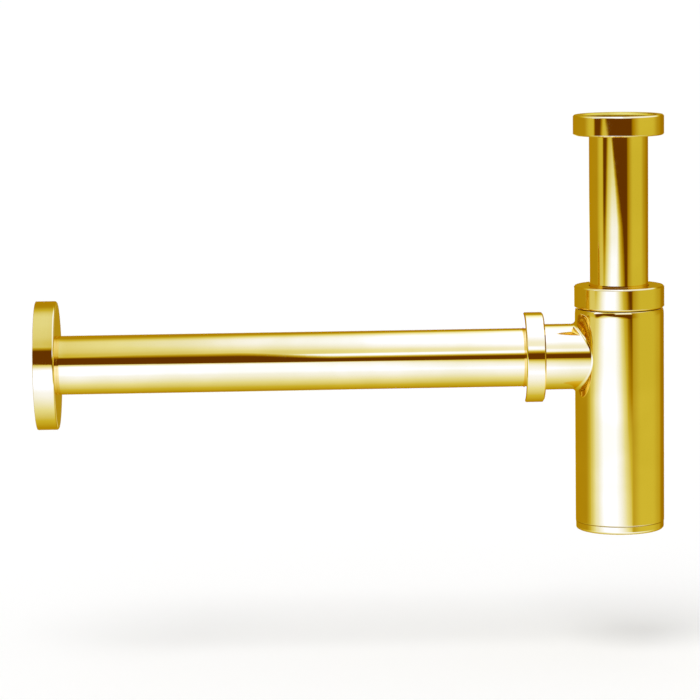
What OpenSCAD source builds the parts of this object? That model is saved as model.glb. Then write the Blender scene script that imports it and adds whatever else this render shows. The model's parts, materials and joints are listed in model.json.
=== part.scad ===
// Round bottle trap for a wash basin, in gold plated brass.
// Origin: centre of the inlet nut's thread mouth. +Z is up, the outlet runs towards -X.

/* [Tubes] */
// Outside diameter of the inlet and outlet tubes
tube_d = 32; // [30:0.5:33]
// Wall of the two tubes
tube_wall = 1; // [0.8:0.1:1.4]
// Inlet tube in view between the inlet nut and the cap nut
inlet_shown = 81.8; // [75:0.2:140]
// Open height under the dip end, above the cleaning cap's floor
dip_gap = 14; // [12:0.5:24]
// Thickness of the ring that is the inlet tube's lip
lip_t = 1.5; // [1.2:0.1:2]
// Length of the outlet tube
outlet_tube_l = 288; // [270:1:420]
// From the bottle's axis to the outlet tube's inner end
outlet_tube_start = 28.5; // [26.5:0.5:31]

/* [Nuts] */
// Wall of the three nuts, outside the thread's pitch line
nut_wall = 4.45; // [4:0.05:5]
// Height of the inlet nut
inlet_nut_h = 11; // [10:0.1:14]
// Height of the cap nut on the bottle
cap_nut_h = 12; // [11:0.1:16]
// Length of the outlet nut
outlet_nut_h = 10.6; // [10:0.1:14]
// Thickness of each nut's shoulder
nut_shoulder = 2; // [1.6:0.1:2.5]
// Chamfer on the nuts' outer edges
nut_edge = 0.7; // [0.4:0.1:1.2]

/* [Threads] */
// From a tube's outside to the pitch line of its nut's thread, which is drawn as a plain wall
thread_room = 4.2; // [4:0.05:5]
// Depth of the lead-in chamfer at a nut's mouth
mouth_chamfer = 0.8; // [0.5:0.1:1.2]
// Radial depth of the run-out groove behind a nut's thread
relief = 0.8; // [0.6:0.1:1.2]

/* [Bottle] */
// How far the nuts stand proud of the bottle's side
bottle_inset = 0.25; // [0.1:0.05:0.6]
// Wall of the bottle
bottle_wall = 1.5; // [1.2:0.1:1.8]
// Length of the bottle from its shoulder to its lower edge
bottle_h = 117.1; // [105:0.5:160]
// From the bottle's shoulder down to the outlet's axis
outlet_drop = 26.5; // [24:0.5:40]
// Thickness of the neck collar's plate
neck_plate = 3; // [2.5:0.1:4]
// Chamfer on the bottle's two rims
bottle_edge = 0.5; // [0.2:0.1:0.8]

/* [Cleaning cap] */
// How far the rim is set in from the bottle's side
cap_inset = 0.2; // [0.1:0.05:0.5]
// Height of the rim below the bottle
cap_rim_h = 4.3; // [4:0.1:8]
// Rounding of the rim's lower edge
cap_round = 1.6; // [0.8:0.1:2.5]
// Thickness of the cap's floor
cap_floor = 3; // [2:0.1:3.6]
// Height of the threaded skirt inside the bottle
cap_skirt_h = 8; // [6:0.5:12]
// Wall of the threaded skirt
cap_skirt_wall = 2.4; // [1.8:0.1:3]
// How far the threaded collar in the bottle's foot runs on past the skirt
base_collar_spare = 2; // [1:0.5:4]
// Radius of the shallow dish under the cap
cap_dish_r = 17; // [10:0.5:20]
// Depth of the dish
cap_dish_h = 0.8; // [0.4:0.1:1.2]

/* [Outlet] */
// Wall of the outlet stub
stub_wall = 1.5; // [1.2:0.1:1.8]
// Bore clearance of the stub around the outlet tube
stub_bore_gap = 0.5; // [0.3:0.1:0.7]
// From the bottle's axis to the outlet nut's outer face
outlet_reach = 52.4; // [50:0.2:60]
// Depth of the stub's seat in the threaded collar
stub_seat = 2; // [1.5:0.1:2.5]

/* [Wall flange] */
// Outside diameter of the flange
flange_d = 70; // [60:1:80]
// Depth of the flange from the wall to its front
flange_h = 11.5; // [10:0.5:16]
// Thickness of its front plate
flange_plate = 2; // [1.2:0.1:3]
// Wall of its skirt
flange_skirt = 1.8; // [1.2:0.1:2.5]
// Rounding of its front edge
flange_round = 1.2; // [0.5:0.1:1.6]
// Wall of the hub around the tube
hub_wall = 3.2; // [3:0.1:4.5]
// Depth of the hub from the front
hub_h = 7; // [6:0.5:9]
// How far the outlet tube stops short of the wall
wall_gap = 1; // [0.5:0.5:2]

/* [Seals] */
// Thickness of the flat washer in the inlet nut
washer_t = 2; // [1.5:0.1:2.5]
// Thickness of the plastic slip rings
slip_ring_t = 1.2; // [1:0.1:1.6]
// Thickness of a seal's head
seal_head = 1.6; // [1.2:0.1:2]
// Length of a seal's tapered nose
seal_nose = 3.4; // [2.8:0.1:3.6]
// Wall of the nose at its tip
seal_tip = 0.7; // [0.6:0.1:0.9]
// Wall of the nose at the head
seal_root = 2.3; // [2:0.1:2.5]
// Section of the ring that seals the cleaning cap
oring_d = 1.6; // [1.4:0.1:1.8]
// From the thread to the sealing ring's inner edge
oring_inset = 0.35; // [0.2:0.05:0.5]
// Length of the grip ring in the wall flange
grip_l = 3; // [2.5:0.1:4]

/* [Fits] */
// Radial clearance of a screwed pair
thread_fit = 0.06; // [0.04:0.01:0.1]
// Clearance between faces that seat on each other
seat_gap = 0.05; // [0.02:0.01:0.1]
// Radial clearance of rubber and plastic rings on a tube
ring_fit = 0.05; // [0.03:0.01:0.1]
// Radial clearance of a tube through a nut or the flange
tube_clear = 0.35; // [0.2:0.05:0.5]
// Radial clearance of the rings inside a nut's thread
pack_clear = 1; // [0.8:0.1:1.3]
// Radial clearance of a soldered joint
solder_gap = 0.03; // [0.02:0.01:0.1]
// Open seam between the cap nut and the bottle
neck_seam = 0.4; // [0.3:0.1:0.8]
// Open seam between the bottle and the cleaning cap
base_seam = 0.3; // [0.2:0.1:0.6]

/* [Hidden] */
$fn = 96;
gold = [0.83, 0.68, 0.24];
bare_brass = [0.72, 0.58, 0.32];
rubber = [0.09, 0.09, 0.1];
plastic = [0.9, 0.9, 0.87];
// Points on each rounded edge
arc_steps = 6;

tube_r = tube_d / 2;
bore_r = tube_r - tube_wall;
thread_r = tube_r + thread_room;
nut_r = thread_r + nut_wall;
female_r = thread_r + thread_fit / 2;
male_r = thread_r - thread_fit / 2;
pack_r = thread_r - pack_clear;
bottle_r = nut_r - bottle_inset;
bottle_bore_r = bottle_r - bottle_wall;
collar_fit_r = bottle_bore_r - solder_gap;
stub_bore_r = tube_r + stub_bore_gap;
stub_r = stub_bore_r + stub_wall;
flange_r = flange_d / 2;

// Heights, from the inlet nut down to the cleaning cap's underside
inlet_top = mouth_chamfer;
inlet_bottom = inlet_top - inlet_nut_h;
lip_z = inlet_bottom + nut_shoulder + seat_gap;
washer_z = lip_z + lip_t;
cap_top = inlet_bottom - inlet_shown;
bottle_top = cap_top - cap_nut_h - neck_seam;
bottle_base = bottle_top - bottle_h;
outlet_z = bottle_top - outlet_drop;
cap_rim_z = bottle_base - base_seam;
cap_base = cap_rim_z - cap_rim_h;
dip_end = cap_base + cap_floor + dip_gap;

// What lies between a nut's shoulder and the collar's end: ring, seal head and three gaps
pack_h = slip_ring_t + seal_head + 3 * seat_gap;
ring_depth = nut_shoulder + seat_gap + slip_ring_t;
head_depth = ring_depth + seat_gap + seal_head;
collar_depth = nut_shoulder + pack_h;
// The seal's nose clears the collar's seat by this much, measured across the axis
seat_r_gap = seat_gap + ring_fit;
seat_tip_r = tube_r + ring_fit + seal_tip + seat_r_gap;
seat_root_r = tube_r + ring_fit + seal_root + seat_r_gap;
base_collar_h = cap_skirt_h + base_collar_spare;
oring_r = female_r + oring_inset + oring_d / 2;
wall_at = outlet_tube_start + outlet_tube_l + wall_gap;

function arc(x, y, r, from, to) =
    [for (i = [0:arc_steps]) let (a = from + (to - from) * i / arc_steps) [x + r * cos(a), y + r * sin(a)]];

// A shape that stands on the outlet's axis: its own +Z points away from the bottle
module on_outlet(distance) {
    translate([-distance, 0, outlet_z]) rotate([0, -90, 0]) children();
}

// A round union nut whose shoulder's outer face is at z = 0 and whose mouth opens down
module union_nut(h, thread_from) {
    rotate_extrude() polygon([
        [tube_r + tube_clear, 0],
        [nut_r - nut_edge, 0],
        [nut_r, -nut_edge],
        [nut_r, nut_edge - h],
        [nut_r - nut_edge, -h],
        [female_r + mouth_chamfer, -h],
        [female_r, mouth_chamfer - h],
        [female_r, -thread_from],
        [female_r + relief, -thread_from],
        [female_r + relief, -nut_shoulder],
        [tube_r + tube_clear, -nut_shoulder]
    ]);
}

// A plain ring from z = 0 upwards
module ring(r_in, r_out, h) {
    difference() {
        cylinder(r = r_out, h = h);
        translate([0, 0, -1]) cylinder(r = r_in, h = h + 2);
    }
}

// A plastic ring under a nut's shoulder, in the nut's own frame
module slip_ring() {
    translate([0, 0, -ring_depth]) ring(tube_r + ring_fit, pack_r, slip_ring_t);
}

// A rubber seal with a tapered nose that points into the collar, in the nut's own frame
module tapered_seal() {
    in_r = tube_r + ring_fit;
    rotate_extrude() polygon([
        [in_r, -head_depth - seal_nose],
        [in_r + seal_tip, -head_depth - seal_nose],
        [in_r + seal_root, -head_depth],
        [pack_r, -head_depth],
        [pack_r, seal_head - head_depth],
        [in_r, seal_head - head_depth]
    ]);
}

// Union nut on the inlet tube: shoulder down, thread mouth up
module inlet_nut() {
    thread_low = nut_shoulder + 2 * seat_gap + lip_t + washer_t;
    color(gold) translate([0, 0, inlet_bottom]) mirror([0, 0, 1]) union_nut(inlet_nut_h, thread_low);
}

module inlet_washer() {
    color(rubber) translate([0, 0, washer_z]) ring(bore_r, pack_r, washer_t);
}

// Ring soldered on the inlet tube's top: the lip that hangs on the nut's shoulder
module inlet_lip_ring() {
    color(bare_brass) translate([0, 0, lip_z]) ring(tube_r + solder_gap, pack_r, lip_t);
}

// Straight tube that dips into the bottle
module inlet_tube() {
    color(gold) translate([0, 0, dip_end]) ring(bore_r, tube_r, washer_z - dip_end);
}

module cap_nut() {
    color(gold) translate([0, 0, cap_top]) union_nut(cap_nut_h, collar_depth);
}

module cap_slip_ring() {
    color(plastic) translate([0, 0, cap_top]) slip_ring();
}

module cap_seal() {
    color(rubber) translate([0, 0, cap_top]) tapered_seal();
}

// Drawn tube of the bottle, with the hole that takes the outlet stub
module bottle_shell() {
    color(gold) difference() {
        rotate_extrude() polygon([
            [bottle_bore_r, bottle_base],
            [bottle_r - bottle_edge, bottle_base],
            [bottle_r, bottle_base + bottle_edge],
            [bottle_r, bottle_top - bottle_edge],
            [bottle_r - bottle_edge, bottle_top],
            [bottle_bore_r, bottle_top]
        ]);
        on_outlet(0) cylinder(r = stub_r + solder_gap, h = bottle_r + 1);
    }
}

// Ring soldered in the bottle's top: a plate with the male thread and the seal's seat
module neck_collar() {
    neck_top = cap_top - collar_depth;
    color(bare_brass) rotate_extrude() polygon([
        [seat_tip_r, bottle_top - neck_plate],
        [collar_fit_r, bottle_top - neck_plate],
        [collar_fit_r, bottle_top],
        [male_r, bottle_top],
        [male_r, neck_top],
        [seat_root_r, neck_top],
        [seat_tip_r, neck_top - seal_nose]
    ]);
}

// Ring soldered in the bottle's foot, with the cap's thread and the seal's groove
module base_collar() {
    groove_r = oring_r + oring_d / 2 + seat_gap;
    groove_h = oring_d - base_seam + 2 * seat_gap;
    color(bare_brass) translate([0, 0, bottle_base]) difference() {
        ring(female_r, collar_fit_r, base_collar_h);
        translate([0, 0, -1]) cylinder(r = groove_r, h = groove_h + 1);
    }
}

module outlet_stub() {
    stub_end = outlet_reach - collar_depth - seal_nose - seat_gap;
    color(gold) difference() {
        on_outlet(0) cylinder(r = stub_r, h = stub_end);
        on_outlet(-1) cylinder(r = stub_bore_r, h = stub_end + 2);
        translate([0, 0, bottle_base]) cylinder(r = bottle_bore_r, h = bottle_h);
    }
}

// Threaded ring soldered on the stub's end, with the seat for the seal
module outlet_collar() {
    end = outlet_reach - collar_depth;
    seat = end - seal_nose;
    color(bare_brass) on_outlet(0) rotate_extrude() polygon([
        [stub_r + solder_gap, seat - stub_seat],
        [male_r, seat - stub_seat],
        [male_r, end],
        [seat_root_r, end],
        [seat_tip_r, seat],
        [stub_r + solder_gap, seat]
    ]);
}

// Screwed cap that closes the bottle: rim, floor and threaded skirt
module cleaning_cap() {
    rim_r = bottle_r - cap_inset;
    skirt_top = cap_rim_z + cap_skirt_h;
    skirt_bore_r = male_r - cap_skirt_wall;
    floor_z = cap_base + cap_floor;
    color(gold) rotate_extrude() polygon(concat(
        [[0, cap_base + cap_dish_h], [cap_dish_r, cap_base + cap_dish_h], [cap_dish_r + cap_dish_h, cap_base]],
        arc(rim_r - cap_round, cap_base + cap_round, cap_round, -90, 0),
        [[rim_r, cap_rim_z], [male_r, cap_rim_z], [male_r, skirt_top]],
        [[skirt_bore_r, skirt_top], [skirt_bore_r, floor_z], [0, floor_z]]
    ));
}

module cleaning_cap_seal() {
    color(rubber) translate([0, 0, cap_rim_z + seat_gap + oring_d / 2])
        rotate_extrude() translate([oring_r, 0]) circle(d = oring_d, $fn = 32);
}

module outlet_nut() {
    color(gold) on_outlet(outlet_reach) union_nut(outlet_nut_h, collar_depth);
}

module outlet_slip_ring() {
    color(plastic) on_outlet(outlet_reach) slip_ring();
}

module outlet_seal() {
    color(rubber) on_outlet(outlet_reach) tapered_seal();
}

module outlet_tube() {
    color(gold) on_outlet(outlet_tube_start) ring(bore_r, tube_r, outlet_tube_l);
}

// Hollow cover ring against the wall, with a hub that holds the grip ring
module wall_flange() {
    hole_r = tube_r + tube_clear;
    hub_r = tube_r + hub_wall;
    recess_r = hub_r - hub_wall / 3;
    color(gold) on_outlet(wall_at) rotate_extrude() polygon(concat(
        [[hole_r, -flange_h]],
        arc(flange_r - flange_round, flange_round - flange_h, flange_round, -90, 0),
        [[flange_r, 0], [flange_r - flange_skirt, 0]],
        [[flange_r - flange_skirt, flange_plate - flange_h], [hub_r, flange_plate - flange_h]],
        [[hub_r, hub_h - flange_h], [recess_r, hub_h - flange_h]],
        [[recess_r, hub_h - flange_h - grip_l], [hole_r, hub_h - flange_h - grip_l]]
    ));
}

// Rubber ring in the flange's hub that keeps the flange where it is pushed
module flange_grip_ring() {
    out_r = tube_r + hub_wall * 2 / 3 - ring_fit;
    recess_at = wall_at - flange_h + hub_h - grip_l;
    color(rubber) on_outlet(recess_at + seat_gap) ring(tube_r + ring_fit, out_r, grip_l - 2 * seat_gap);
}

inlet_nut();
inlet_washer();
inlet_lip_ring();
inlet_tube();
cap_nut();
cap_slip_ring();
cap_seal();
bottle_shell();
neck_collar();
base_collar();
outlet_stub();
outlet_collar();
cleaning_cap();
cleaning_cap_seal();
outlet_nut();
outlet_slip_ring();
outlet_seal();
outlet_tube();
wall_flange();
flange_grip_ring();
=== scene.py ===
# %% [markdown]
# # A round bottle trap in polished gold plate
#
# Under a designer wash basin the waste pipe is in full view, so the trap is turned from brass, polished and plated.
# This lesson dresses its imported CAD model: every visible ring, tube and nut is worked out as a grid of points with
# numpy, gets a finish made of shader nodes, and hangs in a light tent like those in which shiny goods are
# photographed.
#
# The first cell loads the CAD model as a fixed frame. All lengths below are in millimetres, in that same frame, and
# are turned into Blender's metres only when a mesh is written.

# %% Load the frame
import json
import math

import bpy
import numpy as np
from mathutils import Matrix, Vector


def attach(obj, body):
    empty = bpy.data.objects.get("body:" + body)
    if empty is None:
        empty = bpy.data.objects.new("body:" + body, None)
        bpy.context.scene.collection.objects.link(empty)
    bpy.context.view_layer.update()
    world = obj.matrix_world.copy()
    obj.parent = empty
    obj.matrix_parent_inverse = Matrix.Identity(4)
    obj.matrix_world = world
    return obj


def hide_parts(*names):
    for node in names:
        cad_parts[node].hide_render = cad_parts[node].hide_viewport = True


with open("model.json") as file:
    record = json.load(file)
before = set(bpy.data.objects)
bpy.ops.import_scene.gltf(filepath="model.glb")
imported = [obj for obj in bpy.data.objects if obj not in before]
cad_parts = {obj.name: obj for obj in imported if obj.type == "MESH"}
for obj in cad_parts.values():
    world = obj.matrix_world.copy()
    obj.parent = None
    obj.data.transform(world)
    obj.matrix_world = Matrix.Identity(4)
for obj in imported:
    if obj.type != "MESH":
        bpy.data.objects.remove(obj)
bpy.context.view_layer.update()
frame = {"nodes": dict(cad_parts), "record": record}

MM = 0.001

# %% [markdown]
# ## Numbers that the pieces share
#
# The trap is a stack of turned parts, and a part that fits another takes its size from the same number. The nuts and
# collars meet in one thread, the inch-and-a-quarter pipe thread with 11 turns to the inch, so its pitch and depth are
# written once. The CAD solids draw that thread as a plain wall half way up its flank; here it gets its real ridges,
# half of them above that wall and half below.

# %% Shared numbers
TUBE_R, BORE_R = 16.0, 15.0
NUT_R, BOTTLE_R, BOTTLE_BORE_R = 24.65, 24.4, 22.9
STUB_R, STUB_BORE_R = 18.0, 16.5
OUTLET_Z = -130.9
SEAT_TIP_R, SEAT_ROOT_R = 16.85, 18.45

PITCH = 25.4 / 11
THREAD_R = (19.476 + 20.955) / 2
THREAD_DEPTH = 0.68
THREAD_FIT = 0.05
ROW_STEP = 0.13
AROUND = 256

print("thread pitch %.3f mm on a mean radius of %.2f mm" % (PITCH, THREAD_R))

# %% [markdown]
# ## Outlines with eased corners
#
# A lathe leaves no perfectly sharp corner, and the polishing wheel rounds what is left. On a mirror finish those tiny
# roundings are what catches the light along every rim, so each outline corner carries its own rounding radius.
# A bevel modifier could do this on the finished mesh. Rounding the outline before it is turned is exact and needs
# far fewer faces.

# %% A rounded outline
def eased(corners, steps=5):
    """Outline of (radius, height) rows from (radius, height, rounding) corners, closed.
    At each corner a circle of the rounding's radius touches both sides: it starts rounding / tan(half the corner's
    angle) away from the corner, and its centre lies on the corner's bisector."""
    corners = np.array([(c + (0.0,))[:3] for c in corners], float)
    rows = []
    for i, (r, z, rounding) in enumerate(corners):
        here = np.array([r, z])
        if rounding == 0:
            rows.append(here[None])
            continue
        to_last = corners[i - 1, :2] - here
        to_next = corners[(i + 1) % len(corners), :2] - here
        to_last, to_next = to_last / np.hypot(*to_last), to_next / np.hypot(*to_next)
        half = math.acos(np.clip(to_last @ to_next, -1, 1)) / 2
        away = rounding / math.tan(half)
        middle = (to_last + to_next) / np.hypot(*(to_last + to_next))
        centre = here + middle * rounding / math.sin(half)
        start, end = here + to_last * away - centre, here + to_next * away - centre
        sweep = math.pi - 2 * half
        t = np.linspace(0, 1, steps + 1)[:, None]
        rows.append(centre + (np.sin((1 - t) * sweep) * start + np.sin(t * sweep) * end) / math.sin(sweep))
    return np.concatenate(rows)


# %% [markdown]
# ## Turning an outline
#
# Every piece but the stub is a body of revolution. Its surface is a grid of two parameters: the row along the outline
# and the angle round the axis. A screw thread is the same grid with a radius that also rises and falls with height
# and angle together, which is what makes the ridge climb as it goes round.
#
# A mirror shows every error in the normals, so they come from the formula too: the cross product of the grid's two
# directions, each taken between a point's two neighbours.

# %% The thread's wave and the turned grid
def ridge(turns):
    """Height of the thread, from -1 in its root to 1 on its crest: a triangle wave of the number of turns, steepened
    and cut off flat at both ends."""
    triangle = 2 * np.abs(2 * (turns - np.floor(turns + 0.5))) - 1
    return np.clip(1.3 * triangle, -1, 1)


def plain(outline):
    """Rows of (radius, height, thread depth, bound on the radius) for an outline without a thread."""
    outline = np.asarray(outline, float)
    return np.column_stack([outline, np.zeros(len(outline)), outline[:, 0]])


def threaded(z_from, z_to, inside, bound=None):
    """Rows of a thread between two heights. bound(z) is the cone of its lead-in chamfer: no crest passes it."""
    z = np.linspace(z_from, z_to, max(3, int(abs(z_to - z_from) / ROW_STEP)))
    r = np.full_like(z, THREAD_R + (THREAD_FIT / 2 if inside else -THREAD_FIT / 2))
    free = np.full_like(z, 0.0 if inside else 99.0)
    return np.column_stack([r, z, np.full_like(z, THREAD_DEPTH), free if bound is None else bound(z)])


def turned_grid(rows, inside_thread=False, at_z=0.0, closed=True):
    """Points and normals of the surface (r cos a, r sin a, z), where a is the angle round the axis and
    r = radius + depth * ridge(z / pitch - a / full turn), kept outside or inside the bound.
    at_z is the height of the piece's own zero, so that mating threads are in step."""
    area = np.sum(rows[:, 0] * np.roll(rows[:, 1], -1) - np.roll(rows[:, 0], -1) * rows[:, 1])
    rows = rows[::-1] if area < 0 else rows
    angle = np.linspace(0, 2 * np.pi, AROUND, endpoint=False)
    radius, z, depth, bound = (rows[:, k][:, None] for k in range(4))
    r = radius + depth * ridge((z + at_z) / PITCH - angle / (2 * np.pi))
    r = np.maximum(r, bound) if inside_thread else np.minimum(r, bound)
    points = np.stack([r * np.cos(angle), r * np.sin(angle), z + 0 * r], -1)
    across = np.roll(points, -1, 1) - np.roll(points, 1, 1)
    along = np.roll(points, -1, 0) - np.roll(points, 1, 0)
    if not closed:
        along[0], along[-1] = points[1] - points[0], points[-1] - points[-2]
    normals = np.cross(across, along)
    length = np.linalg.norm(normals, axis=-1, keepdims=True)
    normals = normals / np.maximum(length, 1e-12)
    if not closed:
        for end, beside in ((0, 1), (-1, -2)):
            pole = normals[beside].mean(0)
            normals[end] = pole / np.linalg.norm(pole)
    step = np.hypot(np.diff(rows[:, 0], prepend=rows[0, 0]), np.diff(rows[:, 1], prepend=rows[0, 1]))
    run = np.cumsum(step)[:, None] + 0 * r
    return points, normals, run


def quads_of(shape, wrap_rows, wrap_around=True):
    """Corner numbers of the four-sided faces between neighbouring points of a grid."""
    number = np.arange(shape[0] * shape[1]).reshape(shape[:2])
    rows = np.arange(shape[0] - (0 if wrap_rows else 1))[:, None]
    cols = np.arange(shape[1] - (0 if wrap_around else 1))[None]
    down, right = (rows + 1) % shape[0], (cols + 1) % shape[1]
    return np.stack([number[rows, cols], number[rows, right], number[down, right], number[down, cols]], -1)


# %% [markdown]
# ## From grids to a mesh
#
# A piece may be made of several grids that share their borders. They are laid in one list, equal points are welded,
# a face that has shrunk to an edge at a pole becomes a triangle, and every face is turned so that it looks the way
# its normals point. Two values are kept at each point for the finishes: how far along the outline it lies, and
# whether it is plated or bare metal.

# %% Build a mesh from grids
def build(name, grids, bare=None, place=Matrix.Identity(4)):
    """One mesh from (points, normals, run, quads) grids in mm. bare(r, z) marks the points without plating."""
    points = np.concatenate([g[0].reshape(-1, 3) for g in grids])
    normals = np.concatenate([g[1].reshape(-1, 3) for g in grids])
    run = np.concatenate([g[2].reshape(-1) for g in grids])
    starts = np.cumsum([0] + [g[0].shape[0] * g[0].shape[1] for g in grids])
    quads = np.concatenate([g[3].reshape(-1, 4) + s for g, s in zip(grids, starts)])
    corner_normals = normals[quads]

    _, first, back = np.unique(np.round(points * 1e4).astype(np.int64), axis=0, return_index=True, return_inverse=True)
    corners = back.reshape(-1)[quads]
    p = points[first][corners]
    facing = np.cross(p[:, 2] - p[:, 0], p[:, 3] - p[:, 1])
    turn = np.einsum("ij,ij->i", facing, corner_normals.mean(1)) < 0
    corners[turn] = corners[turn][:, ::-1]
    corner_normals[turn] = corner_normals[turn][:, ::-1]

    same = corners == np.roll(corners, -1, 1)
    flat = same.any(1)
    one = same.sum(1) == 1
    tris = corners[one][~same[one]].reshape(-1, 3)
    tri_normals = corner_normals[one][~same[one]].reshape(-1, 3)
    solid = points[first]
    plated = np.ones(len(solid)) if bare is None else 1.0 - bare(np.hypot(solid[:, 0], solid[:, 1]), solid[:, 2])
    rotation = np.array(place.to_3x3())
    solid_world = (solid @ rotation.T + np.array(place.translation)) * MM

    mesh = bpy.data.meshes.new(name)
    mesh.from_pydata(solid_world.tolist(), [], corners[~flat].tolist() + tris.tolist())
    mesh.update()
    for label, values in (("plated", plated), ("run", run[first])):
        mesh.attributes.new(label, "FLOAT", "POINT").data.foreach_set("value", values.astype(np.float32))
    mesh.shade_smooth()
    loops = np.concatenate([corner_normals[~flat].reshape(-1, 3), tri_normals]) @ rotation.T
    mesh.normals_split_custom_set(loops.tolist())
    piece = bpy.data.objects.new(name, mesh)
    bpy.context.scene.collection.objects.link(piece)
    print("%-22s %6d points, %6d triangles" % (name, len(solid), 2 * (~flat).sum() + len(tris)))
    return piece


def where(test):
    """A test's answer as 1 and 0, which is how a mesh keeps it."""
    return np.asarray(test, float)


def turned(name, rows, inside_thread=False, bare=None, place=Matrix.Identity(4), at_z=0.0, closed=True):
    """A body of revolution from its rows, in one grid."""
    points, normals, run = turned_grid(rows, inside_thread, at_z, closed)
    grid = (points, normals, run, quads_of(points.shape, wrap_rows=closed))
    return build(name, [grid], bare, place)


def upright(z):
    """Stands a piece's own zero at a height on the bottle's axis."""
    return Matrix.Translation((0, 0, z))


def sideways(distance):
    """Lays a piece on the outlet's axis: its own +Z points away from the bottle."""
    return Matrix.Translation((-distance, 0, OUTLET_Z)) @ Matrix.Rotation(-math.pi / 2, 4, "Y")


pieces = {}

# %% [markdown]
# ## The three round nuts
#
# They are turned from bar: a thick ring with a shoulder that closes round the tube, a run-out groove and a thread
# that opens at the other end. They have no flats, because they are tightened by hand or with a strap so that the
# plating isn't marked. One outline serves all three, with its shoulder's outer face at height 0 and its mouth below.

# %% Nut outline
def nut_rows(height, thread_from):
    """Rows of a nut of a height: the eased outside, a groove under the shoulder, and the thread from a depth down to
    the mouth, cut back there by the cone radius = mouth's radius - height above the mouth."""
    edge, lead = 0.7, 0.8
    female = THREAD_R + 0.015
    outside = plain(eased([
        (TUBE_R + 0.35, -2.0, 0.1),
        (TUBE_R + 0.35, 0.0, 0.25),
        (NUT_R - edge, 0.0, 0.35),
        (NUT_R, -edge, 0.5),
        (NUT_R, edge - height, 0.5),
        (NUT_R - edge, -height, 0.35),
        (female + lead + 0.25, -height),
        (female + lead, -height, 0.12),
        (female + lead, 0.12 - height),
    ]))
    thread = threaded(0.13 - height, -thread_from, inside=True, bound=lambda z: female + lead - (z + height))
    groove = plain([(female + lead, -thread_from), (female + lead, -2.0)])
    return np.concatenate([thread, groove, outside])


def nut_bare(r, z):
    """Plating is thin inside a nut: below its shoulder's face and inside the thread's root."""
    return where((r < 21.2) & (z < -0.3))


UPSIDE_DOWN = Matrix.Rotation(math.pi, 4, "X")
nuts = (
    ("inlet_nut", "inlet_nut_turned", "inlet nut", 11.0, 5.6, upright(-10.2) @ UPSIDE_DOWN, 0.0),
    ("cap_nut", "cap_nut_turned", "cap nut", 12.0, 4.95, upright(-92.0), -92.0),
    ("outlet_nut", "outlet_nut_turned", "outlet nut", 10.6, 4.95, sideways(52.4), 52.4),
)
for node, name, body, height, thread_from, place, at_z in nuts:
    nut = turned(name, nut_rows(height, thread_from), True, nut_bare, place, at_z)
    pieces[name] = (nut, body, "gold_nut", [node])

# %% [markdown]
# ## The two tubes
#
# Drawn brass tube, 32 mm across with a 1 mm wall. The cut ends are deburred, which is one small rounding inside and
# out. The inlet tube's upper end carries a soldered lip ring, and its lower end dips into the water of the bottle.

# %% Tubes
def tube_rows(length):
    """Rows of a tube: a wall between two radii over a length, its four corners eased."""
    return plain(eased([(BORE_R, 0, 0.25), (TUBE_R, 0, 0.3), (TUBE_R, length, 0.3), (BORE_R, length, 0.25)]))


def tube_bare(r, z):
    """The bore isn't polished."""
    return where(r < BORE_R + 0.4)


pieces["inlet_tube_drawn"] = (
    turned("inlet_tube_drawn", tube_rows(202.45), bare=tube_bare, place=upright(-209.1)),
    "inlet tube", "gold_tube", ["inlet_tube"])
pieces["outlet_tube_drawn"] = (
    turned("outlet_tube_drawn", tube_rows(288.0), bare=tube_bare, place=sideways(28.5)),
    "outlet tube", "gold_tube", ["outlet_tube"])

# %% [markdown]
# ## The threaded collars
#
# The bottle's wall is too thin to cut a thread in, so a turned collar is soldered into its neck, another into its
# foot, and a third on the outlet stub. They show only in the open seams, and when a nut is screwed off.

# %% Collars
def collar_bare(r, z):
    """A collar is bare all over."""
    return where(r > 0)


neck_top, neck_low = -96.95, -104.4
neck_rows = np.concatenate([
    plain(eased([
        (SEAT_TIP_R, neck_low - 3.0, 0.2),
        (22.87, neck_low - 3.0, 0.2),
        (22.87, neck_low, 0.1),
        (20.95, neck_low),
    ])),
    threaded(neck_low + 0.02, neck_top - 0.02, False, lambda z: 19.3 + (neck_top - z) * 1.1),
    plain(eased([(19.3, neck_top), (SEAT_ROOT_R, neck_top, 0.2), (SEAT_TIP_R, neck_top - 3.4, 0.2)])),
])
pieces["neck_collar_turned"] = (
    turned("neck_collar_turned", neck_rows, bare=collar_bare), "bottle", "bare_brass", ["neck_collar"])

base_low = -221.6
base_rows = np.concatenate([
    plain([(22.17, base_low), (22.87, base_low), (22.87, base_low + 10.0), (21.0, base_low + 10.0)]),
    threaded(base_low + 9.98, base_low + 1.42, True, lambda z: 20.95 - np.minimum(9.98 + base_low - z, 3)),
    plain([(22.17, base_low + 1.4)]),
])
pieces["base_collar_turned"] = (
    turned("base_collar_turned", base_rows, True, collar_bare), "bottle", "bare_brass", ["base_collar"])

collar_end = 47.45
collar_rows = np.concatenate([
    plain([(18.03, 42.0), (20.6, 42.0)]),
    threaded(42.02, collar_end - 0.02, False, lambda z: 19.3 + np.minimum(collar_end - z, z - 41.6) * 1.1),
    plain(eased([(19.3, collar_end), (SEAT_ROOT_R, collar_end, 0.2), (SEAT_TIP_R, 44.05, 0.1), (18.03, 44.05)])),
])
pieces["outlet_collar_turned"] = (
    turned("outlet_collar_turned", collar_rows, bare=collar_bare, place=sideways(0.0)),
    "bottle", "bare_brass", ["outlet_collar"])

# %% [markdown]
# ## The cleaning cap
#
# The bottle's foot unscrews to clean it. From outside only its rim shows, a hair narrower than the bottle, with a
# rounded lower edge and a shallow dish below. The outline starts and ends on the axis, so its first and last rows
# are poles: every point of such a row is the same one, and the weld makes a fan of triangles of it.

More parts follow.
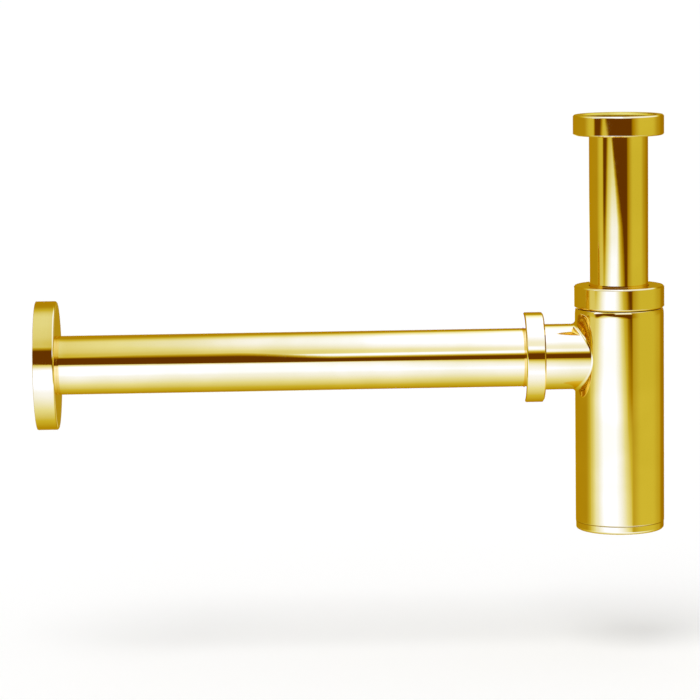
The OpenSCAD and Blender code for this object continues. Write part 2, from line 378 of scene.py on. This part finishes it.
# %% Cleaning cap
rim_top, rim_low = -221.7, -226.1
skirt_top = rim_top + 8.0
cap_rows = np.concatenate([
    plain([(0.0, rim_low + 0.8), (8.0, rim_low + 0.8)]),
    plain(eased([
        (0.0, rim_low + 0.8),
        (17.0, rim_low + 0.8, 1.0),
        (17.8, rim_low, 0.8),
        (24.2, rim_low, 1.6),
        (24.2, rim_top, 0.25),
        (20.6, rim_top),
    ]))[1:],
    threaded(rim_top + 0.02, skirt_top, False, lambda z: 19.3 + (skirt_top - z) * 1.1),
    plain(eased([
        (19.3, skirt_top), (17.77, skirt_top, 0.3), (17.77, rim_low + 3.0, 0.8), (0.0, rim_low + 3.0),
    ])),
])


def cap_bare(r, z):
    """Only what shows from outside is plated: the rim and the dish."""
    return where((z > rim_top + 0.01) | ((r < 17.9) & (z > rim_low + 1.5)))


pieces["cleaning_cap_turned"] = (
    turned("cleaning_cap_turned", cap_rows, bare=cap_bare, closed=False), "cleaning cap", "gold_nut", ["cleaning_cap"])

# %% [markdown]
# ## The wall flange
#
# A hollow cover ring that hides the hole in the wall. Its front edge is rounded, and a hub inside holds a rubber ring
# that keeps the flange where it is pushed.

# %% Wall flange
flange_rows = plain(eased([
    (16.35, -11.5, 0.35),
    (35.0, -11.5, 1.2),
    (35.0, 0.0, 0.3),
    (33.2, 0.0, 0.3),
    (33.2, -9.5, 0.6),
    (19.2, -9.5, 0.6),
    (19.2, -4.5, 0.3),
    (18.133, -4.5, 0.1),
    (18.133, -7.5, 0.1),
    (16.35, -7.5, 0.2),
], steps=7))


def flange_bare(r, z):
    """The hollow back is as it left the lathe, but for the wall of its rim."""
    return where((r < 33.0) & (z > -9.9))


pieces["wall_flange_turned"] = (
    turned("wall_flange_turned", flange_rows, bare=flange_bare, place=sideways(317.5)),
    "wall flange", "gold_flange", ["wall_flange"])

# %% [markdown]
# ## The bottle's shell
#
# A drawn tube with a round hole in its side for the outlet stub. A boolean would cut the hole, but it leaves long
# slivers that crease a mirror. Here the wall is unrolled flat: a rectangle of the turned grid is left out round the
# hole, and a patch of rings runs from the hole's edge to the rectangle's border. Rolled up again, every point of the
# patch lies exactly on the cylinder. The rim at the top is eased over three millimetres, as buffing leaves it, and
# shows as a pale and a dark line under the nut.

# %% Bottle shell
HOLE_R = STUB_R + 0.03
HOLE_COLS, HOLE_ROWS, HOLE_RINGS, HOLE_HALF_H = 44, 44, 12, 23.0
STEP = 2 * np.pi / AROUND
bottle_top, bottle_low = -104.4, -221.6
RIM_IN, RIM_DOWN = 0.8, 3.4


def wall_heights():
    """Heights of the wall's rows, evenly spaced across the hole's rectangle."""
    across_hole = OUTLET_Z + np.linspace(-HOLE_HALF_H, HOLE_HALF_H, HOLE_ROWS + 1)
    return np.concatenate([np.linspace(bottle_low + 1.5, across_hole[0], 12)[:-1], across_hole])


def shell_grid():
    """The turned wall without the rectangle round the hole. Its rim is a quarter of an upright ellipse."""
    z = wall_heights()
    turn = np.linspace(0, np.pi / 2, 9)
    foot = eased([(BOTTLE_BORE_R, bottle_low, 0.2), (BOTTLE_R, bottle_low, 0.5), (BOTTLE_R, 0), (BOTTLE_BORE_R, 0)])
    foot = foot[foot[:, 1] < bottle_low + 1]
    rim_middle = np.array([BOTTLE_R - RIM_IN, bottle_top - RIM_DOWN])
    rim = rim_middle + np.column_stack([RIM_IN * np.cos(turn), RIM_DOWN * np.sin(turn)])
    outline = np.concatenate([
        foot,
        np.column_stack([np.full_like(z, BOTTLE_R), z]),
        rim,
        [(BOTTLE_BORE_R + 0.2, bottle_top), (BOTTLE_BORE_R, bottle_top - 0.2)],
        np.column_stack([np.full_like(z, BOTTLE_BORE_R), z])[::-1],
    ])
    points, normals, run = turned_grid(plain(outline))
    quads = quads_of(points.shape, wrap_rows=True)
    centre = points.reshape(-1, 3)[quads].mean(2)
    beside = np.abs(np.arctan2(centre[..., 1], -centre[..., 0])) < HOLE_COLS * STEP
    level = np.abs(centre[..., 2] - OUTLET_Z) < HOLE_HALF_H
    return points, normals, run, quads[~(beside & level)]


def hole_edge():
    """Unrolled border of the rectangle, as angle and height, and the hole's own angle t towards each border point."""
    a = np.linspace(-HOLE_COLS, HOLE_COLS, 2 * HOLE_COLS + 1) * STEP
    v = np.linspace(-HOLE_HALF_H, HOLE_HALF_H, HOLE_ROWS + 1)
    angle = np.concatenate([a[:-1], np.full(HOLE_ROWS, a[-1]), a[:0:-1], np.full(HOLE_ROWS, a[0])])
    height = np.concatenate([np.full(len(a) - 1, v[0]), v[:-1], np.full(len(a) - 1, v[-1]), v[:0:-1]])
    return angle, height, np.arctan2(angle * BOTTLE_R, height)


def hole_patch(radius, outward):
    """Rings (1 - s) * hole + s * border on the unrolled wall, rolled up as (-radius cos a, radius sin a, z)."""
    border_angle, border_height, t = hole_edge()
    s = (np.linspace(0, 1, HOLE_RINGS + 1) ** 1.5)[:, None]
    a = (1 - s) * np.arcsin(HOLE_R * np.sin(t) / radius) + s * border_angle
    v = (1 - s) * HOLE_R * np.cos(t) + s * border_height
    points = np.stack([-radius * np.cos(a), radius * np.sin(a), OUTLET_Z + v], -1)
    normals = outward * np.stack([-np.cos(a), np.sin(a), 0 * a], -1)
    return points, normals, v, quads_of(points.shape, wrap_rows=False)


def hole_wall():
    """The cut edge between the outer and the inner wall. It faces the stub's axis."""
    t = hole_edge()[2]
    y, z = HOLE_R * np.sin(t), OUTLET_Z + HOLE_R * np.cos(t)
    edges = np.stack([np.stack([-np.sqrt(r * r - y * y), y, z], -1) for r in (BOTTLE_R, BOTTLE_BORE_R)])
    normals = np.broadcast_to(np.stack([0 * t, -np.sin(t), -np.cos(t)], -1), edges.shape)
    return edges, normals, np.stack([t, t]), quads_of(edges.shape, wrap_rows=False)


def bottle_bare(r, z):
    """Nothing is plated inside the bottle's wall."""
    return where(r < BOTTLE_R - 1.0)


shell = build("bottle_shell_drawn",
              [shell_grid(), hole_patch(BOTTLE_R, 1), hole_patch(BOTTLE_BORE_R, -1), hole_wall()], bottle_bare)
pieces["bottle_shell_drawn"] = (shell, "bottle", "gold_body", ["bottle_shell"])

# %% [markdown]
# ## The outlet stub and its soldered joint
#
# The stub is a short tube whose inner end is cut to the bottle's bore, so its end is a saddle and not a circle. It is
# soldered in, and the solder, polished and plated with the rest, leaves a small hollow rounding along the joint. Its
# surface is the one that a ball leaves when it rolls round the joint and touches both cylinders.

# %% Stub and fillet
FILLET_R = 1.8
STUB_END = 44.0
around_stub = np.linspace(0, 2 * np.pi, AROUND, endpoint=False)
sin_t, cos_t = np.sin(around_stub), np.cos(around_stub)


def stub_ring(radius, distance, flat):
    """A ring of the stub at a distance from the bottle's axis: flat, or a saddle with x = -sqrt(distance^2 - y^2)."""
    y = radius * sin_t
    x = np.full_like(y, -distance) if flat else -np.sqrt(distance ** 2 - y * y)
    return np.stack([x, y, OUTLET_Z + radius * cos_t], -1)


def stub_wall(radius, outward):
    """One wall of the stub: the rings of its radius at all stations. Its normals point away from the stub's axis where
    outward is 1, and towards it where outward is -1."""
    rings = np.stack([stub_ring(radius, *station) for station in stations])
    normals = np.broadcast_to(outward * np.stack([0 * sin_t, sin_t, cos_t], -1), rings.shape)
    return rings, normals, rings[..., 0] * -1, quads_of(rings.shape, wrap_rows=False)


def stub_face(station, normals):
    """The cut end between the outer and the inner wall at a station."""
    rings = np.stack([stub_ring(STUB_R, *station), stub_ring(STUB_BORE_R, *station)])
    return rings, np.broadcast_to(normals, rings.shape), rings[..., 0], quads_of(rings.shape, wrap_rows=False)


inner_end, outer_end = (BOTTLE_BORE_R, False), (STUB_END, True)
stations = (inner_end, (BOTTLE_R - 0.6, False), (25.0, True), (30.0, True), (36.0, True), (43.0, True), outer_end)
saddle = stub_ring(STUB_R, *inner_end)
to_axis = np.stack([-saddle[:, 0], -saddle[:, 1], 0 * sin_t], -1) / BOTTLE_BORE_R
stub = build("outlet_stub_tube", [
    stub_wall(STUB_R, 1),
    stub_wall(STUB_BORE_R, -1),
    stub_face(inner_end, to_axis),
    stub_face(outer_end, np.array([-1.0, 0, 0])),
], bottle_bare)
pieces["outlet_stub_tube"] = (stub, "bottle", "gold_body", ["outlet_stub"])


def fillet_grid(steps=12):
    """Arc of the rolling ball: its centre is a radius off both walls, and the arc runs between its two touching
    points, turned from one to the other by equal angles. The back is a ridge sunk under both walls."""
    reach, off = BOTTLE_R + FILLET_R, STUB_R + FILLET_R
    y, z = off * sin_t, off * cos_t
    x = -np.sqrt(reach ** 2 - y * y)
    centre = np.stack([x, y, z], -1)
    on_shell = np.stack([x * BOTTLE_R / reach, y * BOTTLE_R / reach, z], -1) - centre
    on_stub = np.stack([x, y * STUB_R / off, z * STUB_R / off], -1) - centre
    sweep = np.arccos(np.clip((on_shell * on_stub).sum(-1) / FILLET_R ** 2, -1, 1))[None, :, None]
    s = np.linspace(0, 1, steps + 1)[:, None, None]
    spoke = (np.sin((1 - s) * sweep) * on_shell + np.sin(s * sweep) * on_stub) / np.sin(sweep)
    lift = np.array([0, 0, OUTLET_Z])
    arc = centre + spoke + lift
    y = (STUB_R - 0.1) * sin_t
    ridge_line = np.stack([-np.sqrt((BOTTLE_R - 0.1) ** 2 - y * y), y, OUTLET_Z + (STUB_R - 0.1) * cos_t], -1)
    back = np.stack([arc[-1], ridge_line, arc[0]])
    inward = np.broadcast_to(spoke[steps // 2] / FILLET_R, back.shape)
    return [
        (arc, -spoke / FILLET_R, spoke[..., 0], quads_of(arc.shape, wrap_rows=False)),
        (back, inward, back[..., 0], quads_of(back.shape, wrap_rows=False)),
    ]


pieces["stub_joint_fillet"] = (build("stub_joint_fillet", fillet_grid()), "bottle", "gold_body", [])

# %% [markdown]
# ## Each piece in its place
#
# A piece rides on the body that carries it, stands for the CAD node it was turned after, and takes the finish of the
# same material slot.

# %% Ride, replace and name the finish
for name, (piece, body, slot, nodes) in pieces.items():
    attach(piece, body)
    if nodes:
        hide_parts(*nodes)
print(len(pieces), "pieces made in this lesson;", len(frame["nodes"]), "CAD nodes in the frame")

# %% [markdown]
# ## Shader maths in plain Python
#
# A finish is a formula: so much roughness, plus a little where the cloth left a smear. Wiring Math nodes by hand hides
# that formula. This small class wraps a socket, so that an ordinary expression adds the nodes that it needs.

# %% Sockets that add and multiply
class Wire:
    """One output socket. Arithmetic on it adds the Math nodes that do the same."""

    def __init__(self, recipe, socket):
        self.recipe, self.socket = recipe, socket

    def math(self, operation, *others):
        return self.recipe.node("ShaderNodeMath", {"operation": operation}, dict(enumerate((self,) + others)))

    def swapped(self, operation, other):
        return self.recipe.node("ShaderNodeMath", {"operation": operation}, {0: other, 1: self})

    def __add__(self, other):
        return self.math("ADD", other)

    def __sub__(self, other):
        return self.math("SUBTRACT", other)

    def __rsub__(self, other):
        return self.swapped("SUBTRACT", other)

    def __mul__(self, other):
        return self.math("MULTIPLY", other)

    def __truediv__(self, other):
        return self.math("DIVIDE", other)

    def __neg__(self):
        return self.math("MULTIPLY", -1.0)

    __radd__, __rmul__ = __add__, __mul__

    def clamped(self):
        """The value kept between 0 and 1."""
        return self.recipe.node("ShaderNodeClamp", {}, {0: self})

    def at_least(self, other):
        return self.math("MAXIMUM", other)

    def at_most(self, other):
        return self.math("MINIMUM", other)

    def ease(self, low, high):
        """0 below low, 1 above high, and the smooth curve t * t * (3 - 2 t) between them."""
        t = ((self - low) / (high - low)).clamped()
        return t * t * (3.0 - 2.0 * t)


class Recipe:
    """A material or world whose nodes are added one at a time."""

    def __init__(self, holder):
        holder.use_nodes = True
        self.holder, self.tree = holder, holder.node_tree
        self.tree.nodes.clear()

    def node(self, kind, settings=None, inputs=None, out=0):
        """Adds a node: its settings first, with a ramp's stops among them, then its sockets' values or links."""
        made = self.tree.nodes.new(kind)
        for key, value in (settings or {}).items():
            if key == "stops":
                ramp = made.color_ramp
                while len(ramp.elements) < len(value):
                    ramp.elements.new(0.5)
                for element, (at, colour) in zip(ramp.elements, value):
                    element.position, element.color = at, (*colour, 1.0)
            else:
                setattr(made, key, value)
        for key, value in (inputs or {}).items():
            if isinstance(value, Wire):
                self.tree.links.new(value.socket, made.inputs[key])
            else:
                made.inputs[key].default_value = value
        return Wire(self, made.outputs[out])

    def place(self):
        """Object coordinates, in metres."""
        return self.node("ShaderNodeTexCoord", out="Object")

    def stored(self, label):
        """A value that the mesh keeps at each point."""
        return self.node("ShaderNodeAttribute", {"attribute_name": label}, out="Fac")

    def noise(self, vector, scale, detail=2.0, roughness=0.5):
        """Noise in space, about 0.5 on average. Its clouds are about 1 / scale metres across."""
        return self.node("ShaderNodeTexNoise", {}, {"Vector": vector, "Scale": scale, "Detail": detail,
                                                    "Roughness": roughness})

    def lines(self, along, scale, detail=3.0):
        """Noise in one dimension: it changes only along a line, so it draws rings round a turned piece."""
        sockets = {"W": along, "Scale": scale, "Detail": detail}
        return self.node("ShaderNodeTexNoise", {"noise_dimensions": "1D"}, sockets)

    def colours(self, factor, a, b):
        """Colour a where the factor is 0 and b where it is 1."""
        sockets = {0: factor, 6: a if isinstance(a, Wire) else (*a, 1.0), 7: b if isinstance(b, Wire) else (*b, 1.0)}
        return self.node("ShaderNodeMix", {"data_type": "RGBA"}, sockets, out=2)

    def finish(self, shader, output="ShaderNodeOutputMaterial"):
        end = self.tree.nodes.new(output)
        self.tree.links.new(shader.socket, end.inputs["Surface"])
        return self.holder


# %% [markdown]
# ## Polished gold plate
#
# The plating is a mirror: what it shows is the room. Its own part is the warm tint of the metal, a trace of haze
# where it was wiped, and a skin that isn't quite flat. It could be one number for each of these, but a real plated
# tube is cloudier in some places than in others, and so slow noise moves the tint and the roughness a little. Inside
# the nuts and bores the plating is thin or missing, and there the same recipe turns to plain turned brass, with the
# lathe's rings as a fine bump along the outline.

# %% Gold and brass
GOLD_DEEP, GOLD_LIGHT = (0.905, 0.705, 0.20), (0.955, 0.75, 0.24)
BRASS_DARK, BRASS_LIGHT = (0.66, 0.46, 0.035), (0.88, 0.65, 0.07)


def metal(name, ring_bump=0.0, haze=0.03):
    """One recipe for plated and bare metal: gold where the stored value "plated" is 1, brass where it is 0, and a
    blend along the edge of the plating."""
    r = Recipe(bpy.data.materials.new(name))
    place, plated, run = r.place(), r.stored("plated"), r.stored("run")
    cloud = r.noise(place, 28.0, 3.0)
    smear = r.noise(place, 150.0, 5.0, 0.6).ease(0.45, 0.75)
    rings = r.lines(run, 7.0, 4.0)
    skin = r.noise(place, 320.0, 2.0)
    gold = r.colours(cloud.ease(0.35, 0.65), GOLD_DEEP, GOLD_LIGHT)
    brass = r.colours((0.6 * rings + 0.4 * cloud).ease(0.35, 0.65), BRASS_DARK, BRASS_LIGHT)
    gold_rough = 0.035 + haze * smear
    brass_rough = 0.26 + 0.16 * rings
    height = 0.0025 * skin + ring_bump * rings * plated + 0.03 * rings * (1.0 - plated)
    bump = r.node("ShaderNodeBump", {}, {"Height": height, "Strength": 1.0, "Distance": 0.001})
    shader = r.node("ShaderNodeBsdfPrincipled", {}, {
        "Base Color": r.colours(plated, brass, gold),
        "Roughness": gold_rough * plated + brass_rough * (1.0 - plated),
        "Metallic": 1.0,
        "Specular Tint": (1.0, 0.85, 0.25, 1.0),
        "Normal": bump,
    })
    return r.finish(shader)


gold_nut = metal("gold_nut", ring_bump=0.0004)
gold_tube = metal("gold_tube", haze=0.025)
gold_body = metal("gold_body", haze=0.03)
gold_flange = metal("gold_flange", ring_bump=0.002, haze=0.05)
bare_brass = metal("bare_brass")

# %% [markdown]
# ## Rubber and plastic
#
# The seals are black rubber, matt with a pale bloom, and the slip rings are natural plastic, smooth and slightly
# waxy. Both are inside the nuts and come to view only when these are screwed off, but they are finished all the same.
# Their gloss is a little warm, because the tent's panels are cool.

# %% Rubber and plastic
WARM_GLOSS = (1.0, 0.80, 0.26, 1.0)


def rubber_finish():
    """Black, with a bloom that is pale and matt together, and a grain of a few tenths of a millimetre."""
    r = Recipe(bpy.data.materials.new("seal_rubber"))
    place = r.place()
    bloom = r.noise(place, 220.0, 4.0, 0.6).ease(0.45, 0.8)
    grain = r.noise(place, 2600.0, 3.0)
    bump = r.node("ShaderNodeBump", {}, {"Height": grain, "Strength": 0.6, "Distance": 0.00008})
    return r.finish(r.node("ShaderNodeBsdfPrincipled", {}, {
        "Base Color": r.colours(bloom, (0.018, 0.018, 0.02), (0.07, 0.07, 0.072)),
        "Roughness": 0.55 + 0.25 * bloom,
        "Specular Tint": WARM_GLOSS,
        "Normal": bump,
    }))


def plastic_finish():
    """Off-white, cloudy in colour and gloss together, with a faint moulded grain."""
    r = Recipe(bpy.data.materials.new("slip_ring_plastic"))
    place = r.place()
    cloud = r.noise(place, 260.0, 3.0)
    bump = r.node("ShaderNodeBump", {}, {"Height": r.noise(place, 1500.0, 2.0), "Strength": 0.4, "Distance": 0.00005})
    return r.finish(r.node("ShaderNodeBsdfPrincipled", {}, {
        "Base Color": r.colours(cloud, (0.78, 0.78, 0.73), (0.86, 0.86, 0.81)),
        "Roughness": 0.32 + 0.12 * cloud,
        "Specular Tint": WARM_GLOSS,
        "Normal": bump,
    }))


finishes = {"gold_nut": gold_nut, "gold_tube": gold_tube, "gold_body": gold_body, "gold_flange": gold_flange,
            "bare_brass": bare_brass, "rubber": rubber_finish(), "slip_plastic": plastic_finish()}
for name, (piece, body, slot, nodes) in pieces.items():
    piece.data.materials.append(finishes[slot])
for part in frame["record"]["subparts"]:
    node = frame["nodes"][part["node"]]
    node.data.materials.clear()
    node.data.materials.append(finishes[part["material_slot"]])
print("finishes:", ", ".join(finishes))

# %% [markdown]
# ## The light tent
#
# A polished tube is photographed in a tent: white panels to make it shine, and black flags to give it edges. What the
# camera sees on the metal is the tent, squeezed round each tube. A row of lamps and cards could be set up for it. One
# ball round the trap, whose brightness is a formula of the direction, is easier to reason about: an azimuth of 0 is
# towards the camera and positive to its right, the elevation is above the ball's middle, and "over" goes from 0 in
# front over 90 overhead to 180 behind. Only reflections see the ball, so it lights nothing else and casts no shadow.
#
# The formula gives a tone: -1 for a black flag, 0 for the dim walls, 1 for a lit panel. A ramp turns the tone into a
# colour, warm where it is dim and cool where it is lit, as daylight panels beside lamplit walls are.

# %% Tones of the tent
TENT_R = 640.0
TENT_MIDDLE = OUTLET_Z
TONES = (
    (-1.0, (0.137, 0.044, 0.000)),
    (-0.5, (0.433, 0.283, 0.000)),
    (0.0, (0.657, 0.615, 0.119)),
    (0.33, (0.850, 0.947, 1.080)),
    (0.66, (0.992, 1.203, 3.150)),
    (1.0, (1.120, 1.430, 4.800)),
)
BRIGHTEST = 5.0


def walls(az, el):
    """The dim walls: even at the sides, darker towards the back. Low behind the trap stands a lit screen, which
    gives the views from behind their shine and is only a hairline at the edges of the tubes from in front."""
    high = 0.2 + 0.2 * el.ease(-6.0, 4.0)
    right = high * az.ease(86.0, 113.0) + (0.6 - high) * az.ease(113.0, 133.0) - 0.18 * az.ease(146.0, 168.0)
    left = 0.44 * (-az).ease(80.0, 102.0)
    screen = 1.3 * az.at_least(-az).ease(156.0, 172.0) * (1.0 - el.ease(-1.0, 5.0))
    return screen - right - left


def front_panel(az, el):
    """The lit panel in front. It fades upwards, to the left and to the right, and its right edge leans to the left."""
    el = el.at_most(9.0)
    top_fade = (0.82 - 0.1 * el).at_most(1.0)
    left_foot = (-60.0 + 2.0 * el).at_least(-80.0)
    left_width = 28.0 - 2.0 * el.at_least(0.0) - 0.45 * el.at_most(0.0)
    left_fade = ((az - left_foot) / left_width).clamped()
    right_foot = -0.8 - 1.7 * el - 3.6 * (el - 1.3).at_least(0.0)
    right_width = (16.0 - 1.6 * el).at_least(6.0)
    right_fade = ((right_foot - az) / right_width).at_least(-1.0)
    dark_end = 0.25 * az.ease(13.0, 19.0) * el.ease(-13.0, -9.0)
    return (top_fade * left_fade).at_most(right_fade - dark_end).at_least(-1.0)


def front_sides(az, el):
    """What flanks the panel: a narrow black flag on its left, and the shade of the right flag, which fades out."""
    flag_end = -60.0 + 1.4 * el
    flag = az.ease(-72.0, -65.0) * (1.0 - (az - flag_end).ease(-5.0, 6.0)) * el.ease(-4.5, 3.5)
    glow = 0.12 * az.ease(-90.0, -82.0) * (1.0 - az.ease(-70.0, -60.0)) * (1.0 - el.ease(-3.0, 3.0))
    shade = (0.32 + 0.3 * el.ease(-6.0, 2.0)) * az.ease(24.0, 26.0) * (1.0 - az.ease(24.0, 52.0))
    return glow - flag, shade


def roof(over, x):
    """Above the flag: a roof that is dim on the left and lit on the right, with a bright slit just over the flag. It
    is lit again at its far left, beyond what the trap mirrors to the front, and falls off towards the walls behind."""
    slit_side = x.ease(-0.34, -0.22)
    far_left = 1.0 - x.ease(-0.52, -0.44)
    edge = 42.0 - 20.0 * slit_side - 3.5 * far_left
    flag_edge = (over - edge) / (12.0 - 5.8 * slit_side - 6.0 * far_left)
    slope = 1.0 + 1.15 * over.ease(42.0, 90.0)
    dark_end = -0.53 - 0.1 * over.ease(42.0, 60.0) + 0.55 * over.ease(100.0, 160.0)
    lit = (slope * (x - dark_end)).at_most(1.0 - 0.4 * x.ease(0.06, 0.1)).at_least(-0.5)
    lit = lit + 0.15 * (1.0 - x.ease(-0.538, -0.522)) + 1.2 * (1.0 - x.ease(-0.75, -0.6))
    lit = lit * (1.0 - over.ease(150.0, 170.0)) - 0.42 * over.ease(158.0, 170.0)
    slit = x.ease(-0.31, -0.24) * (1.0 - over.ease(31.0, 37.0)) * (1.0 - 0.5 * x.ease(-0.02, 0.03))
    lit = lit + slit * (1.0 - lit)
    return flag_edge.at_most(lit).at_least(-1.0)


def tent_tone(az, el, over, x):
    """The parts laid over each other by direction."""
    panel = front_panel(az, el)
    beside, shade = front_sides(az, el)
    right_of = az.ease(24.5, 30.5)
    tone = panel * (1.0 - right_of) - shade * right_of + beside + walls(az, el)
    under = 0.3 * (-over).ease(26.0, 45.0) + 0.0115 * (-over - 45.0).at_least(0.0)
    low = (1.0 - under * (-el).ease(18.0, 28.0)).at_least(-0.38)
    steep = (-el).ease(20.0, 38.0)
    tone = (tone * (1.0 - steep) + steep).at_most(low)
    ahead = az.ease(-76.0, -72.0) * (1.0 - az.ease(26.0, 30.0))
    above = (ahead * el.ease(8.6, 9.6)).at_least(el.ease(30.0, 45.0))
    tone = tone * (1.0 - above) + roof(over, x) * above
    return tone.at_least(-1.0).at_most(1.0)


# %% Light tent
def tent_finish():
    """The direction of each point from the tent's middle, as angles, gives the tone, and the ramp its colour."""
    r = Recipe(bpy.data.materials.new("light_tent"))
    centred = r.node("ShaderNodeVectorMath", {"operation": "SUBTRACT"}, {0: r.place(), 1: (0, 0, TENT_MIDDLE * MM)})
    unit = r.node("ShaderNodeVectorMath", {"operation": "NORMALIZE"}, {0: centred})
    x, y, z = (r.node("ShaderNodeSeparateXYZ", {}, {0: unit}, out=k) for k in range(3))
    degrees = 180 / math.pi
    az = x.math("ARCTAN2", -y) * degrees
    el = z.math("ARCSINE") * degrees
    over = z.math("ARCTAN2", -y) * degrees
    stops = [((tone + 1) / 2, tuple(c / BRIGHTEST for c in colour)) for tone, colour in TONES]
    ramp = r.node("ShaderNodeValToRGB", {"stops": stops}, {0: (tent_tone(az, el, over, x) + 1.0) * 0.5})
    return r.finish(r.node("ShaderNodeEmission", {}, {"Color": ramp, "Strength": BRIGHTEST}))


tent_angle = np.linspace(-np.pi / 2, np.pi / 2, 49)
tent_rows = plain(np.column_stack([TENT_R * np.cos(tent_angle), TENT_R * np.sin(tent_angle)]))
tent_rows[[0, -1], 0] = tent_rows[[0, -1], 3] = 0.0
tent = turned("light_tent", tent_rows, place=upright(TENT_MIDDLE), closed=False)
tent.data.materials.append(tent_finish())
for ray in ("camera", "diffuse", "transmission", "volume_scatter", "shadow"):
    setattr(tent, "visible_" + ray, False)

# %% [markdown]
# ## Floor, daylight and camera
#
# The trap hangs from its basin, so the pale floor lies under the lowest point that the bottle and its cap reach when
# they are drawn down, and keeps a soft shadow. From below it is clear to the camera, so that the underside can be
# looked at. One broad sun and an even sky light everything that isn't a mirror, at a level where a colour renders
# about as it is written. The camera stands about 1.75 m away and a little above, where the rings in the photograph
# put it.

# %% Floor
BOTTLE_TRAVEL, CAP_TRAVEL, FLOOR_GAP = 60.0, 5.8, 1.0
floor_z = (rim_low - BOTTLE_TRAVEL - CAP_TRAVEL - FLOOR_GAP) * MM
reach = 40.0
floor_mesh = bpy.data.meshes.new("floor")
floor_mesh.from_pydata([(-reach, -reach, floor_z), (reach, -reach, floor_z), (reach, reach, floor_z),
                        (-reach, reach, floor_z)], [], [(0, 1, 2, 3)])
floor = bpy.data.objects.new("floor", floor_mesh)
bpy.context.scene.collection.objects.link(floor)
sheet = Recipe(bpy.data.materials.new("pale_floor"))
pale = sheet.node("ShaderNodeBsdfDiffuse", {}, {"Color": (0.97, 0.97, 0.97, 1.0)})
clear = sheet.node("ShaderNodeBsdfTransparent")
seen = sheet.node("ShaderNodeLightPath", out="Is Camera Ray")
below = sheet.node("ShaderNodeNewGeometry", out="Backfacing")
floor_mesh.materials.append(sheet.finish(sheet.node("ShaderNodeMixShader", {}, {0: seen * below, 1: pale, 2: clear})))
floor.visible_glossy = False

# %% Sky and sun
world = bpy.data.worlds.new("studio")
bpy.context.scene.world = world
sky = Recipe(world)
seen = sky.node("ShaderNodeLightPath", out="Is Camera Ray")
sky.finish(sky.node("ShaderNodeBackground", {}, {"Color": (1, 1, 1, 1), "Strength": 0.76 + 0.24 * seen}),
           "ShaderNodeOutputWorld")
sun = bpy.data.lights.new("broad_sun", "SUN")
sun.energy, sun.angle = 1.0, math.radians(40)
lamp = bpy.data.objects.new("broad_sun", sun)
lamp.rotation_euler = (math.radians(24), math.radians(-14), 0)
lamp.visible_glossy = False
bpy.context.scene.collection.objects.link(lamp)
bpy.context.scene.view_settings.view_transform = "Standard"

# %% Camera
yaw, pitch, roll = 0.0242, -0.1291, -0.0142
forward = Vector((math.sin(yaw) * math.cos(pitch), math.cos(yaw) * math.cos(pitch), math.sin(pitch)))
right = forward.cross(Vector((0, 0, 1))).normalized()
up = right.cross(forward)
right, up = math.cos(roll) * right + math.sin(roll) * up, math.cos(roll) * up - math.sin(roll) * right
view = bpy.data.cameras.new("camera")
view.sensor_width, view.lens = 36.0, 166.09
view.clip_end = 200.0
camera = bpy.data.objects.new("camera", view)
aim = Matrix((right, up, -forward)).transposed().to_4x4()
camera.matrix_world = Matrix.Translation((-0.18928, -1.74502, 0.10138)) @ aim
bpy.context.scene.collection.objects.link(camera)
bpy.context.scene.camera = camera
